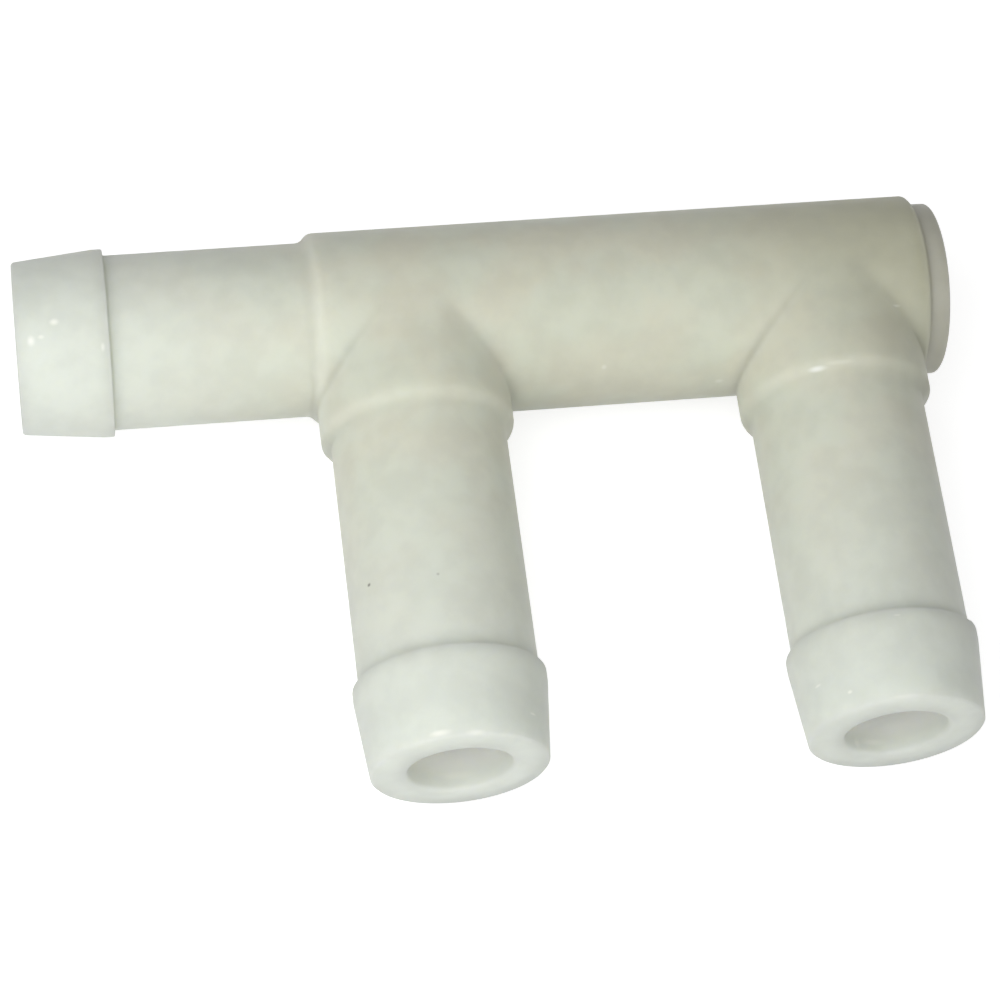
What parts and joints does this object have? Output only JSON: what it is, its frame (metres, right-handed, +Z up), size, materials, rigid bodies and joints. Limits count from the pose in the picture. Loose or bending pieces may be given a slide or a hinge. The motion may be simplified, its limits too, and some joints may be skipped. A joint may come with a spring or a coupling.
{
  "type": "tubing y connector",
  "caption": "One-piece moulded hose connector with a barbed inlet, a closed far end and two parallel barbed outlets square to the run.",
  "frame": {"origin": "centre of the bounding box, on the surface that the connector lies on", "axes": "+X along the run from the inlet to the closed end, +Z up, square to the level plane that holds the three axes; the outlets point along -Y"},
  "size_m": [0.0854, 0.0534, 0.0177],
  "materials": {
    "natural_nylon": "natural uncoloured nylon, milky and slightly translucent, with a soft sheen"
  },
  "bodies": {
    "root": {"connector_body": "natural_nylon"}
  },
  "joints": []
}
